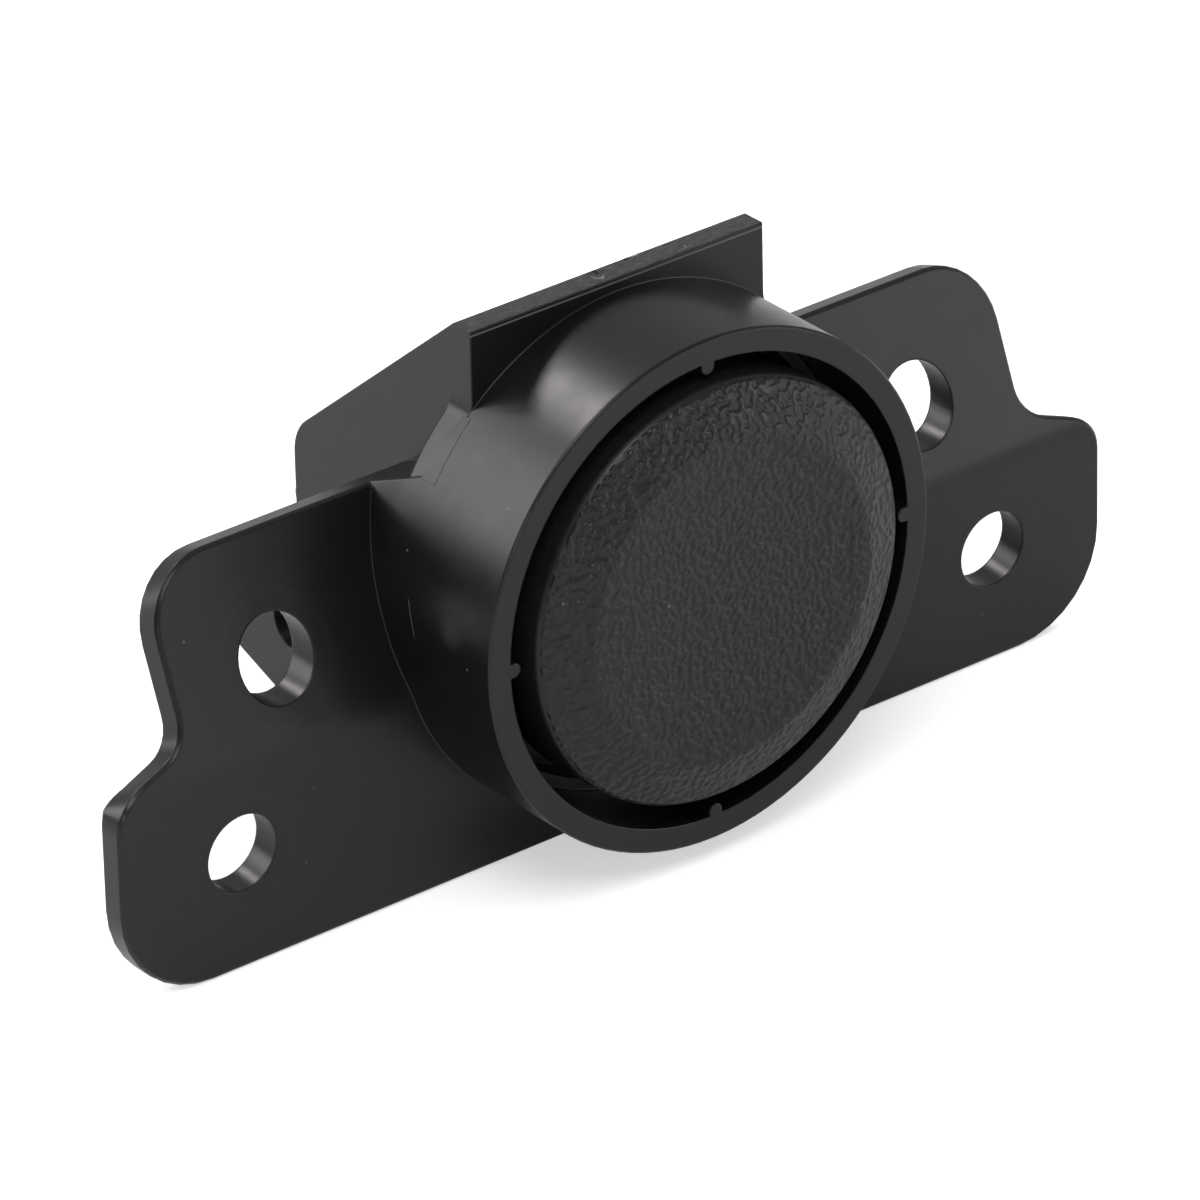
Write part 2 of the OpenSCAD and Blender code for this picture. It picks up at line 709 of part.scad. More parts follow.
// Outline of the hook, seen from the side
module hook_outline() {
    base = [pivot_y, pivot_z - hub_r + lap];
    tip = [tooth_y + tooth_t, tooth_top];
    hip = [tip[0] + hip_out, seat_z - hip_drop];
    polygon(concat([base, heel, [bar_c[0] - pad_half - heel_out, seat_z], [tooth_y, seat_z]],
        corner([tooth_y, seat_z], [tooth_y, tooth_top], tip, mouth_r, 4),
        corner([tooth_y, tooth_top], tip - [mouth_r, 0], hip, nose_r, 4),
        corner(tip, hip, base, hip_r, 5)));
}

// Lever: hub, arm towards the stem and hook towards the striker
module hook_lever() {
    p = [pivot_y, pivot_z];
    color(grey) difference() {
        union() {
            bar_x(-hub_x, hub_x, p, hub_r);
            along_x(-lever_w / 2, lever_w / 2) arm_outline();
            along_x(-hook_w / 2, hook_w / 2) hook_outline();
        }
        bar_x(-hub_x - lap, hub_x + lap, p, pin_d / 2 + pin_run_gap);
        along_x(-slot_w / 2, slot_w / 2) translate(p) {
            circle(twist_r + twist_wire);
            rotate(arm_angle - 90) translate([0, -twist_r])
                square([twist_r + leg_room, slot_len]);
            translate([-hub_r - lap, -hub_r - lap])
                square([hub_r + lap, hub_r + lap - twist_r + twist_wire]);
        }
    }
}

// Rubber pad on the hook under the striker bar
module striker_pad() {
    color(rubber) along_x(-hook_w / 2 + pad_inset, hook_w / 2 - pad_inset)
        translate([bar_c[0] - pad_half, seat_z]) square([2 * pad_half, saddle_t]);
}

// Headed pin, pressed into the cheeks
module pivot_pin() {
    p = [pivot_y, pivot_z];
    color(steel) {
        bar_x(-half_box + pin_recess, half_box + pin_head_t, p, pin_d / 2);
        bar_x(half_box, half_box + pin_head_t, p, pin_head_d / 2);
    }
}

// Torsion spring: upper leg behind the arm, lower leg under the shelf
module hook_spring() {
    start = arm_angle - 90;
    total = 360 * twist_turns + start + 90;
    steps = 24 * twist_turns + 12;
    x0 = -coil_step * total / 720;
    function at(g, x) = [x, pivot_y + twist_r * cos(g), pivot_z + twist_r * sin(g)];
    upper = at(start, x0) + twist_leg * [0, arm_dir[0], arm_dir[1]];
    lower = at(-90, -x0) + [0, floor_t + twist_wire - pivot_y, 0];
    color(steel) wire(concat([upper],
        [for (i = [0:steps]) at(start - total * i / steps, x0 * (1 - 2 * i / steps))],
        [lower]), twist_wire);
}

housing();
button_cap();
button_plunger();
button_spring();
plunger_clip();
plunger_buffer();
hook_lever();
striker_pad();
pivot_pin();
hook_spring();
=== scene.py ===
"""Glove box latch: housing with drum and flange, grained push button, hook lever, springs."""

import json
import logging
import math
from abc import ABC, abstractmethod
from dataclasses import dataclass
from enum import Enum
from functools import reduce
from operator import add
from typing import Iterable, Optional, Sequence, Union

import bmesh
import bpy
from mathutils import Matrix, Vector

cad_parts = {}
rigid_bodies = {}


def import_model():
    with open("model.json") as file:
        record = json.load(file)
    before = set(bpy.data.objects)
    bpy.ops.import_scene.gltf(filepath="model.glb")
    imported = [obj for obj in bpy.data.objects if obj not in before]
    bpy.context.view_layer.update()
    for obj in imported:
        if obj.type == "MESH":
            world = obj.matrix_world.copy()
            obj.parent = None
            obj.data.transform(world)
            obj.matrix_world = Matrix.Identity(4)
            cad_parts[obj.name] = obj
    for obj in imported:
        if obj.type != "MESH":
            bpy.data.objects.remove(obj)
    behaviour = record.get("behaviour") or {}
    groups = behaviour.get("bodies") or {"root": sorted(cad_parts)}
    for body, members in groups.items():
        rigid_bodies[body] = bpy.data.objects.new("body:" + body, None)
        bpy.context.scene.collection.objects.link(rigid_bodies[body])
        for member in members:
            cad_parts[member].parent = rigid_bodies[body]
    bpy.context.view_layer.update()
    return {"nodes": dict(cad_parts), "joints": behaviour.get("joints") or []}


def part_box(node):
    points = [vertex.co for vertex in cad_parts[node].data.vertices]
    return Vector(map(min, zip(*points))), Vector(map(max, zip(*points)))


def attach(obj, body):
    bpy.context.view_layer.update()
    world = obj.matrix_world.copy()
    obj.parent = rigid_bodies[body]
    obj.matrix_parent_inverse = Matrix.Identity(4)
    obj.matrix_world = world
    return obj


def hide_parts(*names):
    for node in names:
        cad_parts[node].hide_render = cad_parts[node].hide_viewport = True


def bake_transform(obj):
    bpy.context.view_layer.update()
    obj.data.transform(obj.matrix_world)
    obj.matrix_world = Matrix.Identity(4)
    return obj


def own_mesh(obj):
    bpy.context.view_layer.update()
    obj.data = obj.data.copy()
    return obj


LOG = logging.getLogger("latch")
Number = Union[int, float]
Point = tuple[float, float, float]
Pair = tuple[float, float]
Stroke = tuple[Pair, Pair, float]
MM = 0.001
# Distance in metres under which corners are merged
MERGE = 1e-7
# Angle in degrees over which an edge stays crisp
CRISP = 28.0
# Height in millimetres of the button's axis over the drum's
BUTTON_RISE = 0.35
# Gap in millimetres between the object and the floor
FLOOR_GAP = 0.05
# Factors of red, green and blue
WHITE = (1.0, 1.0, 1.0)
WARM = (1.0, 0.93, 0.93)
BLACK_TINT = (1.0, 0.94, 0.96)


class Body(Enum):
    """Bodies that the pieces ride on."""

    HOUSING = "housing"
    BUTTON = "button"
    HOOK = "hook"


class Slot(Enum):
    """Finish slots of the part."""

    HOUSING = "housing_plastic"
    GRAINED = "grained_plastic"
    INNER = "inner_plastic"
    LEVER = "lever_plastic"
    PIN = "pin_steel"
    SPRING = "spring_steel"
    RUBBER = "buffer_rubber"


class Wave(Enum):
    """How the noise of a steel part is stretched: evenly, or into rings round X."""

    NONE = (3.0, 3.0, 3.0)
    ALONG_X = (26.0, 1.0, 1.0)


class Val:
    """A socket of a shader tree that takes part in Python expressions."""

    def __init__(self, paint: "Paint", socket: bpy.types.NodeSocket) -> None:
        """Wraps one output socket of the paint's tree."""
        self.paint = paint
        self.socket = socket

    def _maths(self, operation: str, *values: Union["Val", Number]) -> "Val":
        """One Math node.

        Args:
            operation: The node's operation.
            values: Its inputs in order.

        Returns:
            The node's result.
        """
        return self.paint.node("ShaderNodeMath", {"operation": operation}, dict(enumerate(values)))

    def __add__(self, other: Union["Val", Number]) -> "Val":
        """Sum of two values."""
        return self._maths("ADD", self, other)

    def __sub__(self, other: Union["Val", Number]) -> "Val":
        """Difference of two values."""
        return self._maths("SUBTRACT", self, other)

    def __rsub__(self, other: Number) -> "Val":
        """Difference from a number."""
        return self._maths("SUBTRACT", other, self)

    def __mul__(self, other: Union["Val", Number]) -> "Val":
        """Product of two values."""
        return self._maths("MULTIPLY", self, other)

    __radd__ = __add__
    __rmul__ = __mul__

    def power(self, exponent: float) -> "Val":
        """Value raised to a power."""
        return self._maths("POWER", self, exponent)

    def size(self) -> "Val":
        """Value without its sign."""
        return self._maths("ABSOLUTE", self)

    def least(self, other: Union["Val", Number]) -> "Val":
        """Smaller of two values."""
        return self._maths("MINIMUM", self, other)

    def most(self, other: Union["Val", Number]) -> "Val":
        """Larger of two values."""
        return self._maths("MAXIMUM", self, other)

    def ramp(self, low: float, high: float, at_low: float = 0.0, at_high: float = 1.0) -> "Val":
        """Soft step.

        Args:
            low: Value at which the step begins.
            high: Value at which it ends.
            at_low: Result before the step.
            at_high: Result after it.

        Returns:
            The stepped value.
        """
        return self.paint.node(
            "ShaderNodeMapRange",
            {"interpolation_type": "SMOOTHSTEP"},
            {"Value": self, "From Min": low, "From Max": high, "To Min": at_low, "To Max": at_high},
        )

    def band(self, rise: Pair, fall: Pair) -> "Val":
        """1 between a soft rise and a soft fall, else 0."""
        return self.ramp(*rise) * self.ramp(*fall, 1.0, 0.0)


class Paint:
    """Node tree of one material or of the world."""

    def __init__(self, tree: bpy.types.NodeTree) -> None:
        """Empties the tree and keeps it."""
        self.tree = tree
        tree.nodes.clear()

    def node(
        self,
        kind: str,
        settings: Optional[dict] = None,
        inputs: Optional[dict] = None,
        output: Union[int, str] = 0,
    ) -> Optional[Val]:
        """Adds one node.

        Args:
            kind: The node's type.
            settings: Its own settings, set first.
            inputs: Values or links of its sockets.
            output: Which output is returned.

        Returns:
            The chosen output, or None where the node has none.
        """
        made = self.tree.nodes.new(kind)
        for key, value in (settings or {}).items():
            setattr(made, key, value)
        for key, value in (inputs or {}).items():
            if isinstance(value, Val):
                self.tree.links.new(value.socket, made.inputs[key])
            else:
                made.inputs[key].default_value = value
        return Val(self, made.outputs[output]) if len(made.outputs) else None

    def millimetres(self) -> Val:
        """Place on the piece in millimetres."""
        place = self.node("ShaderNodeTexCoord", output="Object")
        return self.node("ShaderNodeVectorMath", {"operation": "SCALE"}, {0: place, "Scale": 1 / MM})

    def split(self, place: Val) -> tuple[Val, Val, Val]:
        """The three parts of a vector.

        Args:
            place: The vector.

        Returns:
            Its parts along X, Y and Z.
        """
        made = self.node("ShaderNodeSeparateXYZ", inputs={0: place})
        outs = made.socket.node.outputs
        return Val(self, outs[0]), Val(self, outs[1]), Val(self, outs[2])

    def noise(self, place: Val, scale: float, detail: float = 3.0, rough: float = 0.55) -> Val:
        """Noise of a scale in waves a millimetre, with a mean of about one half."""
        return self.node(
            "ShaderNodeTexNoise",
            inputs={"Vector": place, "Scale": scale, "Detail": detail, "Roughness": rough},
        )

    def stretched(self, place: Val, by: Point) -> Val:
        """Place multiplied axis by axis."""
        return self.node("ShaderNodeVectorMath", {"operation": "MULTIPLY"}, {0: place, 1: by})

    def bump(
        self, height: Val, distance: float, strength: float, normal: Optional[Val] = None
    ) -> Val:
        """Bumped normal.

        Args:
            height: Height pattern.
            distance: Height of the pattern in metres.
            strength: Share of it that shows.
            normal: Normal under it.

        Returns:
            The new normal.
        """
        inputs = {"Height": height, "Distance": distance, "Strength": strength}
        if normal is not None:
            inputs["Normal"] = normal
        return self.node("ShaderNodeBump", inputs=inputs)

    def rounded(self, radius: float) -> Val:
        """Normal that runs round over edges and hollows, by a radius in metres."""
        return self.node("ShaderNodeBevel", {"samples": 8}, {"Radius": radius})

    def blend(
        self,
        share: Union[Val, float],
        first: Union[Val, Sequence[float]],
        second: Union[Val, Sequence[float]],
    ) -> Val:
        """Mix of two colours: the first at share 0, the second at share 1."""
        colours = {"Factor": share, 6: first, 7: second}
        return self.node("ShaderNodeMix", {"data_type": "RGBA"}, colours, output=2)

    def specks(self, place: Val, scale: float, rarity: float, size: float) -> Val:
        """Sparse round specks.

        Args:
            place: Place in millimetres.
            scale: Cells a millimetre.
            rarity: Share of the cells that stay empty.
            size: Radius of a speck as a share of a cell.

        Returns:
            1 in a speck, else 0.
        """
        cell = self.node("ShaderNodeTexVoronoi", inputs={"Vector": place, "Scale": scale})
        near = cell.ramp(size * 0.5, size, 1.0, 0.0)
        colour = Val(self, cell.socket.node.outputs["Color"])
        chosen, _, _ = self.split(colour)
        return near * chosen.ramp(rarity, rarity + 0.01)

    @staticmethod
    def distance(across: Val, along: Val, centre: Pair) -> Val:
        """Distance from a point of a plane."""
        return ((across - centre[0]).power(2.0) + (along - centre[1]).power(2.0)).power(0.5)

    @staticmethod
    def scratch(across: Val, along: Val, start: Pair, end: Pair, width: float) -> Val:
        """Straight scratch between two points of a plane.

        Args:
            across: First coordinate of the plane.
            along: Second coordinate.
            start: One end.
            end: The other end.
            width: Half width.

        Returns:
            1 on the scratch, else 0.
        """
        dx, dy = end[0] - start[0], end[1] - start[1]
        length = math.hypot(dx, dy)
        ux, uy = dx / length, dy / length
        run = (across - start[0]) * ux + (along - start[1]) * uy
        off = ((across - start[0]) * (-uy) + (along - start[1]) * ux).size()
        inside = run.ramp(0, length * 0.15) * run.ramp(length * 0.8, length, 1.0, 0.0)
        return off.ramp(width * 0.3, width, 1.0, 0.0) * inside


def grey(level: float, tint: Sequence[float] = WHITE) -> tuple[float, float, float, float]:
    """Colour of a neutral level with a slight tint."""
    return (level * tint[0], level * tint[1], level * tint[2], 1.0)


@dataclass(frozen=True)
class Finish(ABC):
    """Base of all finishes: a name and the common shader values.

    The tint colours the surface, the shine its reflections, and edge is the radius in
    metres by which edges look rounded.
    """

    name: str
    level: float
    roughness: float
    specular: float = 0.5
    metallic: float = 0.0
    tint: Point = WHITE
    shine: Point = WARM
    edge: float = 0.12 * MM

    @abstractmethod
    def dress(self, paint: Paint, place: Val) -> dict:
        """Sockets of the shader that this finish sets.

        Args:
            paint: Tree of the material.
            place: Place on the piece in millimetres.

        Returns:
            Values by the name of the socket.
        """

    def make(self) -> bpy.types.Material:
        """Builds the material.

        Returns:
            The material.
        """
        material = bpy.data.materials.new(self.name)
        material.use_nodes = True
        paint = Paint(material.node_tree)
        sockets = {
            "Metallic": self.metallic,
            "Specular IOR Level": self.specular,
            "Specular Tint": grey(1.0, self.shine),
        }
        sockets.update(self.dress(paint, paint.millimetres()))
        shader = paint.node("ShaderNodeBsdfPrincipled", inputs=sockets)
        paint.node("ShaderNodeOutputMaterial", inputs={"Surface": shader})
        return material


@dataclass(frozen=True)
class SatinPlastic(Finish):
    """Black moulded plastic: faint flow marks, fine texture, dust and hair scratches.

    With marks it also has those of the housing, at their places in millimetres: a scratch
    and a painted reflection, a pale round patch, on the drum's left side, a ring round each
    screw hole (place across, height and radius) and a painted highlight along the wall's
    front top edge under the cut strip.
    """

    dust: float = 0.6
    dust_level: float = 0.16
    flow_stretch: Point = (0.05, 0.16, 0.12)
    flow_depth: float = 0.05 * MM
    hair_stretch: Point = (0.4, 0.4, 9.0)
    texture_depth: float = 0.006 * MM
    marks: bool = False
    drum_left: Pair = (-17.0, -19.0)
    drum_scratch: Stroke = ((-0.6, 2.8), (-1.55, -0.4), 0.07)
    # Centre, to the back and in height, of the painted reflection on the drum's left side
    drum_reflection_centre: Pair = (-5.5, 1.8)
    hole_rings: tuple[Point, ...] = ((29.4, 0.1, 4.6), (34.6, -12.7, 4.5))
    # Heights and depths of the painted highlight along the wall's front top edge
    edge_highlight_heights: tuple[Pair, Pair] = ((20.66, 20.73), (20.80, 20.88))
    edge_highlight_depths: tuple[Pair, Pair] = ((-0.3, -0.2), (0.02, 0.1))

    def dress(self, paint: Paint, place: Val) -> dict:
        """Sockets of satin plastic.

        Args:
            paint: Tree of the material.
            place: Place on the piece in millimetres.

        Returns:
            Values by the name of the socket.
        """
        x, y, z = paint.split(place)
        flow = paint.noise(paint.stretched(place, self.flow_stretch), 1.0, 2.0)
        fine = paint.noise(place, 9.0, 2.0, 0.6)
        cloud = paint.noise(place, 0.7, 4.0, 0.6)
        dust = paint.specks(place, 1.1, 0.985, 0.13) * self.dust
        hairs = paint.noise(paint.stretched(place, self.hair_stretch), 1.0, 2.0).ramp(0.70, 0.74)
        light = dust + hairs * 0.04
        if self.marks:
            light = light + self._marks_and_highlights(paint, x, y, z)
        # Dust, hairs and, with marks, the painted highlight and painted reflection all blend to this
        # pale grey
        plain, dust_and_highlight_grey = grey(self.level, self.tint), grey(self.dust_level)
        colour = paint.blend(light.least(1.0), plain, dust_and_highlight_grey)
        rough = (cloud - 0.5) * 0.10 + (flow - 0.5) * 0.08 + self.roughness + light * 0.2
        normal = paint.bump(flow, self.flow_depth, 0.25, paint.rounded(self.edge))
        normal = paint.bump(fine, self.texture_depth, 0.5, normal)
        return {"Base Color": colour, "Roughness": rough, "Normal": normal}

    def _marks_and_highlights(self, paint: Paint, x: Val, y: Val, z: Val) -> Val:
        """Marks of the housing, with the painted highlight and the painted reflection.

        Args:
            paint: Tree of the material.
            x: Place across.
            y: Place to the back.
            z: Height.

        Returns:
            Lightness of the marks.
        """
        front = y.ramp(-0.3, 0.8, 1.0, 0.0)
        left = x.ramp(*self.drum_left)
        scratch = paint.scratch(y, z, *self.drum_scratch) * left * front
        # Painted reflection: a pale round patch on the drum's left side
        drum_reflection = paint.distance(y, z, self.drum_reflection_centre).ramp(0.3, 1.5, 1.0, 0.0) * left
        rings = reduce(add, (
            (paint.distance(x, z, (side * across, up)) - radius).size().ramp(0.05, 0.35, 1.0, 0.0)
            for side in (-1.0, 1.0) for across, up, radius in self.hole_rings
        ))
        # Painted highlight: a light band along the wall's front top edge, under the cut strip
        painted_edge_highlight = z.band(*self.edge_highlight_heights) * y.band(*self.edge_highlight_depths)
        return scratch * 0.5 + rings * 0.012 + painted_edge_highlight * 0.5 + drum_reflection * 0.09


@dataclass(frozen=True)
class GrainedPlastic(Finish):
    """Black plastic with a leather grain.

    The grain is fine on the dished face, up to flat_radius, coarse on the bevel round it,
    and fades out at grain_end. Its scales are ridges a millimetre, its relief is in metres.
    """

    fine: float = 2.15
    coarse: float = 1.9
    flat_radius: float = 12.6
    flat_blur: float = 0.3
    grain_end: float = 16.25
    grain_fade: float = 0.2
    relief: float = 0.11 * MM
    dust_level: float = 0.13

    @staticmethod
    def _worms(paint: Paint, place: Val, scale: float) -> Val:
        """Short winding ridges with round tops.

        Args:
            paint: Tree of the material.
            place: Place in millimetres.
            scale: Ridges a millimetre.

        Returns:
            1 on a ridge, 0 between them.
        """
        return paint.noise(place, scale, 0.5, 0.35).ramp(0.28, 0.72)

    def dress(self, paint: Paint, place: Val) -> dict:
        """Sockets of grained plastic.

        Args:
            paint: Tree of the material.
            place: Place on the piece in millimetres.

        Returns:
            Values by the name of the socket.
        """
        x, _, z = paint.split(place)
        radius = paint.distance(x, z, (0.0, BUTTON_RISE))
        outside = radius.ramp(self.flat_radius - self.flat_blur, self.flat_radius + self.flat_blur)
        fine = self._worms(paint, place, self.fine)
        coarse = self._worms(paint, place, self.coarse)
        ridge = fine * (1 - outside) + coarse * outside
        inside = radius.ramp(self.grain_end - self.grain_fade, self.grain_end, 1.0, 0.0)
        height = ridge * inside * (outside * 0.1 + 1.0)
        dust = paint.specks(place, 0.9, 0.97, 0.12)
        # Painted highlight on the grain's ridges and painted shade in its hollows
        colour = paint.blend(ridge, grey(self.level * 0.65), grey(self.level * 1.15))
        colour = paint.blend(dust * 0.7, colour, grey(self.dust_level))
        normal = paint.bump(height, self.relief, 1.0, paint.rounded(self.edge))
        return {"Base Color": colour, "Roughness": self.roughness - ridge * 0.08, "Normal": normal}


@dataclass(frozen=True)
class CutPlastic(Finish):
    """Torn grey surface left where the moulding was trimmed.

    Its hollows, painted near black as shade, and its pale tears are strokes across and to the back,
    in millimetres.
    """

    # Strokes of painted shade in the hollows: start, end and half width
    hollows: tuple[Stroke, ...] = (
        ((-0.85, 1.75), (-0.8, 1.2), 0.22),
        ((1.9, 1.8), (2.3, 1.5), 0.25),
    )
    tears: tuple[Stroke, ...] = (
        ((-1.45, 1.3), (-1.1, 0.25), 0.14),
        ((-1.1, 0.25), (-0.7, 0.8), 0.12),
        ((2.6, 1.75), (3.4, 1.8), 0.15),
        ((6.5, 0.3), (6.7, 0.8), 0.08),
    )

    def dress(self, paint: Paint, place: Val) -> dict:
        """Sockets of a cut surface.

        Args:
            paint: Tree of the material.
            place: Place on the piece in millimetres.

        Returns:
            Values by the name of the socket.
        """
        streak = paint.noise(paint.stretched(place, (0.5, 2.2, 2.0)), 2.2, 4.0, 0.65)
        grit = paint.noise(place, 6.0, 4.0, 0.7)
        share = (streak * 0.6 + grit * 0.5).ramp(0.35, 0.8)
        colour = paint.blend(share, grey(self.level * 0.45), grey(self.level * 1.9))
        x, y, _ = paint.split(place)
        # Hollow strokes paint shade near black; tear strokes paint pale torn plastic
        for strokes, weight, level in ((self.hollows, 0.9, 0.003), (self.tears, 0.75, 0.22)):
            drawn = reduce(add, (paint.scratch(x, y, *stroke) for stroke in strokes))
            colour = paint.blend(drawn.least(1.0) * weight, colour, grey(level))
        normal = paint.bump(grit * 0.6 + streak, 0.09 * MM, 0.8)
        return {"Base Color": colour, "Roughness": grit * 0.25 + self.roughness, "Normal": normal}


@dataclass(frozen=True)
class TurnedMetal(Finish):
    """Drawn or turned steel with fine lines and a faint stain."""

    wave: Wave = Wave.NONE

    def dress(self, paint: Paint, place: Val) -> dict:
        """Sockets of steel.

        Args:
            paint: Tree of the material.
            place: Place on the piece in millimetres.

        Returns:
            Values by the name of the socket.
        """
        lines = paint.noise(paint.stretched(place, self.wave.value), 1.0, 3.0, 0.6)
        stain = paint.noise(place, 0.8, 4.0)
        clean, dull = grey(self.level, self.tint), grey(self.level * 0.85, self.tint)
        colour = paint.blend(stain.ramp(0.4, 0.75), clean, dull)
        normal = paint.bump(lines, 0.01 * MM, 0.5, paint.rounded(self.edge))
        return {"Base Color": colour, "Roughness": lines * 0.18 + self.roughness, "Normal": normal}


@dataclass(frozen=True)
class SoftRubber(Finish):
    """Matt rubber with a dusty bloom."""

    def dress(self, paint: Paint, place: Val) -> dict:
        """Sockets of rubber.

        Args:
            paint: Tree of the material.
            place: Place on the piece in millimetres.

        Returns:
            Values by the name of the socket.
        """
        bloom = paint.noise(place, 2.4, 4.0, 0.6)
        colour = paint.blend(bloom.ramp(0.45, 0.8), grey(self.level), grey(self.level * 2.0))
        normal = paint.bump(bloom, 0.02 * MM, 0.4, paint.rounded(self.edge))
        return {"Base Color": colour, "Roughness": self.roughness, "Normal": normal}


def to_mesh(name: str, shape: bmesh.types.BMesh) -> bpy.types.Mesh:
    """Ends a shape as a mesh.

    Args:
        name: Name of the mesh.
        shape: The shape, freed afterwards.

    Returns:
        The mesh.
    """
    mesh = bpy.data.meshes.new(name)
    shape.to_mesh(mesh)
    shape.free()
    return mesh


def to_object(
    name: str, mesh: bpy.types.Mesh, materials: Sequence[bpy.types.Material] = ()
) -> bpy.types.Object:
    """Links a mesh as a new object.

    Args:
        name: Name of the piece.
        mesh: Its mesh, in metres.
        materials: Its materials in slot order.

    Returns:
        The object, at the origin.
    """
    mesh.materials.clear()
    for material in materials:
        mesh.materials.append(material)
    made = bpy.data.objects.new(name, mesh)
    bpy.context.scene.collection.objects.link(made)
    return made


def plain_mesh(made: bpy.types.Object) -> bpy.types.Object:
    """Turns the evaluated result of an object's modifiers into its plain mesh.

    Args:
        made: Object with modifiers.

    Returns:
        A new mesh object of the same name.
    """
    name = made.name
    graph = bpy.context.evaluated_depsgraph_get()
    mesh = bpy.data.meshes.new_from_object(made.evaluated_get(graph), depsgraph=graph)
    bpy.data.objects.remove(made)
    result = bpy.data.objects.new(name, mesh)
    bpy.context.scene.collection.objects.link(result)
    return result


def sharpen(shape: bmesh.types.BMesh, angle: float) -> None:
    """Marks edges over an angle as sharp and smooths the rest.

    Args:
        shape: The mesh.
        angle: The angle in degrees.
    """
    for face in shape.faces:
        face.smooth = True
    for edge in shape.edges:
        edge.smooth = len(edge.link_faces) == 2 and edge.calc_face_angle(0.0) < math.radians(angle)


def moulded_copy(
    name: str, node: bpy.types.Object, material: bpy.types.Material
) -> bpy.types.Object:
    """Merged and smoothed copy of a solid.

    Args:
        name: Name of the new piece.
        node: The solid's object.
        material: Material of the piece.

    Returns:
        The piece with weighted normals.
    """
    shape = bmesh.new()
    shape.from_mesh(node.data)
    bmesh.ops.remove_doubles(shape, verts=shape.verts, dist=MERGE)
    bmesh.ops.recalc_face_normals(shape, faces=shape.faces)
    sharpen(shape, CRISP)
    for face in shape.faces:
        face.material_index = 0
    made = to_object(name, to_mesh(name, shape), [material])
    weighted = made.modifiers.new("weighted", "WEIGHTED_NORMAL")
    weighted.keep_sharp = True
    weighted.weight = 50
    return plain_mesh(made)


class Growth:
    """Geometry node tree built in the script, with named inputs."""

    def __init__(self, name: str) -> None:
        """Makes an empty tree with one geometry input and one output.

        Args:
            name: Name of the tree.
        """
        self.tree = bpy.data.node_groups.new(name, "GeometryNodeTree")
        self.face = self.tree.interface
        self.face.new_socket("Geometry", in_out="INPUT", socket_type="NodeSocketGeometry")
        self.face.new_socket("Geometry", in_out="OUTPUT", socket_type="NodeSocketGeometry")
        self.ids: dict[str, str] = {}
        self.start: Optional[bpy.types.Node] = None

    def size(self, name: str, kind: str = "NodeSocketFloat") -> None:
        """Adds a named input of a socket type."""
        self.ids[name] = self.face.new_socket(name, in_out="INPUT", socket_type=kind).identifier

    def node(
        self, kind: str, settings: Optional[dict] = None, inputs: Optional[dict] = None
    ) -> bpy.types.Node:
        """Adds one node.

        Args:
            kind: The node's type.
            settings: Its own settings, set first.
            inputs: Values or source sockets.

        Returns:
            The node.
        """
        made = self.tree.nodes.new(kind)
        for key, value in (settings or {}).items():
            setattr(made, key, value)
        for key, value in (inputs or {}).items():
            if isinstance(value, bpy.types.NodeSocket):
                self.tree.links.new(value, made.inputs[key])
            else:
                made.inputs[key].default_value = value
        return made

    def begin(self) -> bpy.types.Node:
        """The group's input node."""
        self.start = self.start or self.node("NodeGroupInput")
        return self.start

    def finish(self, shape: bpy.types.NodeSocket) -> None:
        """Ends the tree: plain geometry with its material.

        Args:
            shape: The geometry so far.
        """
        real = self.node("GeometryNodeRealizeInstances", inputs={0: shape})
        dressed = self.node(
            "GeometryNodeSetMaterial",
            inputs={"Geometry": real.outputs[0], "Material": self.begin().outputs["Material"]},
        )
        self.node("NodeGroupOutput", inputs={0: dressed.outputs[0]})

    def grow(self, made: bpy.types.Object, values: dict) -> bpy.types.Object:
        """Runs the tree on an object.

        Args:
            made: Object that carries the source geometry.
            values: Value of each named input.

        Returns:
            The plain mesh object.
        """
        modifier = made.modifiers.new(self.tree.name, "NODES")
        modifier.node_group = self.tree
        for name, value in values.items():
            modifier[self.ids[name]] = value
        return plain_mesh(made)


def wire_tree() -> Growth:
    """Tree that turns a path into round wire.

    Returns:
        The tree with the inputs Radius, Sides and Material.
    """
    growth = Growth("wire")
    growth.size("Radius")
    growth.size("Sides", "NodeSocketInt")
    growth.size("Material", "NodeSocketMaterial")
    source = growth.begin()
    path = growth.node("GeometryNodeMeshToCurve", inputs={0: source.outputs["Geometry"]})
    ring = growth.node(
        "GeometryNodeCurvePrimitiveCircle",
        inputs={"Resolution": source.outputs["Sides"], "Radius": source.outputs["Radius"]},
    )
    tube = growth.node(
        "GeometryNodeCurveToMesh",
        inputs={"Curve": path.outputs[0], "Profile Curve": ring.outputs[0], "Fill Caps": True},
    )
    smooth = growth.node("GeometryNodeSetShadeSmooth", inputs={0: tube.outputs[0]})
    growth.finish(smooth.outputs[0])
    return growth


